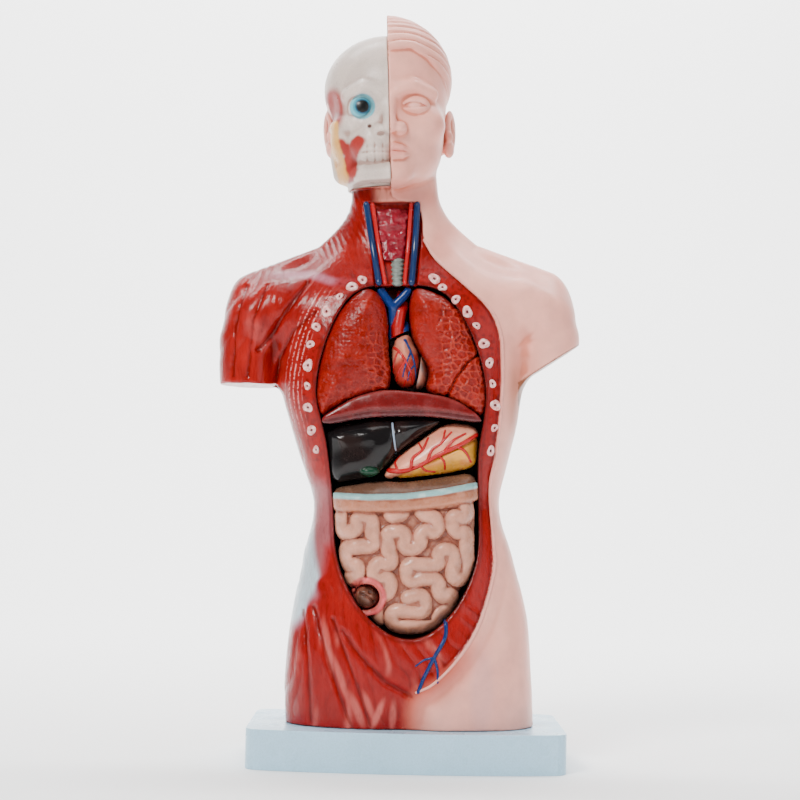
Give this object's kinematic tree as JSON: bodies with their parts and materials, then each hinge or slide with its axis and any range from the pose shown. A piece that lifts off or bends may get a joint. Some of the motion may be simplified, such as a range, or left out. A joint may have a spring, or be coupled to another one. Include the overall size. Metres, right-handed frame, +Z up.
{
  "type": "torso anatomy model",
  "caption": "Half-life-size human torso teaching model on a plinth, half skin and half muscle, with an open front, lift-out organs and a removable skull half",
  "frame": {"origin": "centre of the plinth's underside", "axes": "+Z up along the torso, the torso faces -Y, +X is the model's own left side"},
  "size_m": [0.2002, 0.108, 0.4163],
  "materials": {
    "white_plastic": "smooth moulded pale grey-blue plastic",
    "steel": "turned steel",
    "skin": "satin painted soft plastic, skin and red muscle areas",
    "bone": "satin painted off-white skull with painted muscles and eye",
    "brain": "satin painted folds",
    "lung": "glossy orange-red with fine lobule relief",
    "heart": "glossy red with painted arteries and veins",
    "vessel_red": "glossy red",
    "cartilage": "glossy grey-green rings",
    "diaphragm": "glossy maroon",
    "liver": "high-gloss near-black brown",
    "stomach": "glossy pale pink with red arteries and a yellow band",
    "gland": "glossy ochre",
    "kidney": "glossy dark red",
    "bowel": "glossy peach loops, brown band",
    "caecum": "glossy dark brown",
    "bladder": "glossy tan"
  },
  "bodies": {
    "torso": {"base_board": "white_plastic", "torso_screw_left": "steel", "torso_screw_right": "steel", "torso_screw_rear": "steel", "torso_body": "skin", "head_skin_half": "skin", "skull_pin_upper": "steel", "skull_pin_lower": "steel", "trachea_and_bronchi": "cartilage", "thoracic_aorta": "vessel_red", "diaphragm": "diaphragm", "left_kidney": "kidney", "right_kidney": "kidney", "pancreas_and_duodenum": "gland", "spleen": "kidney", "urinary_bladder": "bladder", "abdominal_vessels": "vessel_red", "right_lung_pin": "steel", "left_lung_pin": "steel", "stomach_pin": "steel", "liver_pin": "steel", "intestine_pin": "steel"},
    "right_lung": {"right_lung": "lung"},
    "left_lung": {"left_lung": "lung"},
    "heart_rear": {"heart_rear_half": "heart", "great_vessel_roots": "heart", "great_vessel_tops": "heart", "heart_left_margin": "heart"},
    "heart_front": {"heart_front_half": "heart"},
    "stomach": {"stomach": "stomach"},
    "liver": {"liver": "liver"},
    "intestines": {"intestines": "bowel"},
    "caecum": {"caecum_cover": "caecum"},
    "brain_left": {"brain_half_left": "brain"},
    "brain_right": {"brain_half_right": "brain"},
    "skull": {"skull_half": "bone"}
  },
  "joints": [
    {"name": "right_lung_lift", "type": "slide", "parent": "torso", "child": "right_lung", "axis": [0, -1, 0], "range_m": [0, 0.09]},
    {"name": "left_lung_lift", "type": "slide", "parent": "torso", "child": "left_lung", "axis": [0, -1, 0], "range_m": [0, 0.09]},
    {"name": "heart_lift", "type": "slide", "parent": "torso", "child": "heart_rear", "axis": [0, -1, 0], "range_m": [0, 0.075]},
    {"name": "heart_front_lift", "type": "slide", "parent": "heart_rear", "child": "heart_front", "axis": [0, -1, 0], "range_m": [0, 0.05]},
    {"name": "stomach_lift", "type": "slide", "parent": "torso", "child": "stomach", "axis": [0, -1, 0], "range_m": [0, 0.08]},
    {"name": "liver_lift", "type": "slide", "parent": "stomach", "child": "liver", "axis": [0, -1, 0], "range_m": [0, 0.08]},
    {"name": "intestines_lift", "type": "slide", "parent": "torso", "child": "intestines", "axis": [0, -1, 0], "range_m": [0, 0.08]},
    {"name": "caecum_lift", "type": "slide", "parent": "intestines", "child": "caecum", "axis": [0, -1, 0], "range_m": [0, 0.035]},
    {"name": "brain_left_lift", "type": "slide", "parent": "torso", "child": "brain_left", "axis": [-1, 0, 0], "range_m": [0, 0.05]},
    {"name": "brain_right_lift", "type": "slide", "parent": "brain_left", "child": "brain_right", "axis": [-1, 0, 0], "range_m": [0, 0.05]},
    {"name": "skull_lift", "type": "slide", "parent": "brain_right", "child": "skull", "axis": [-1, 0, 0], "range_m": [0, 0.06]}
  ]
}
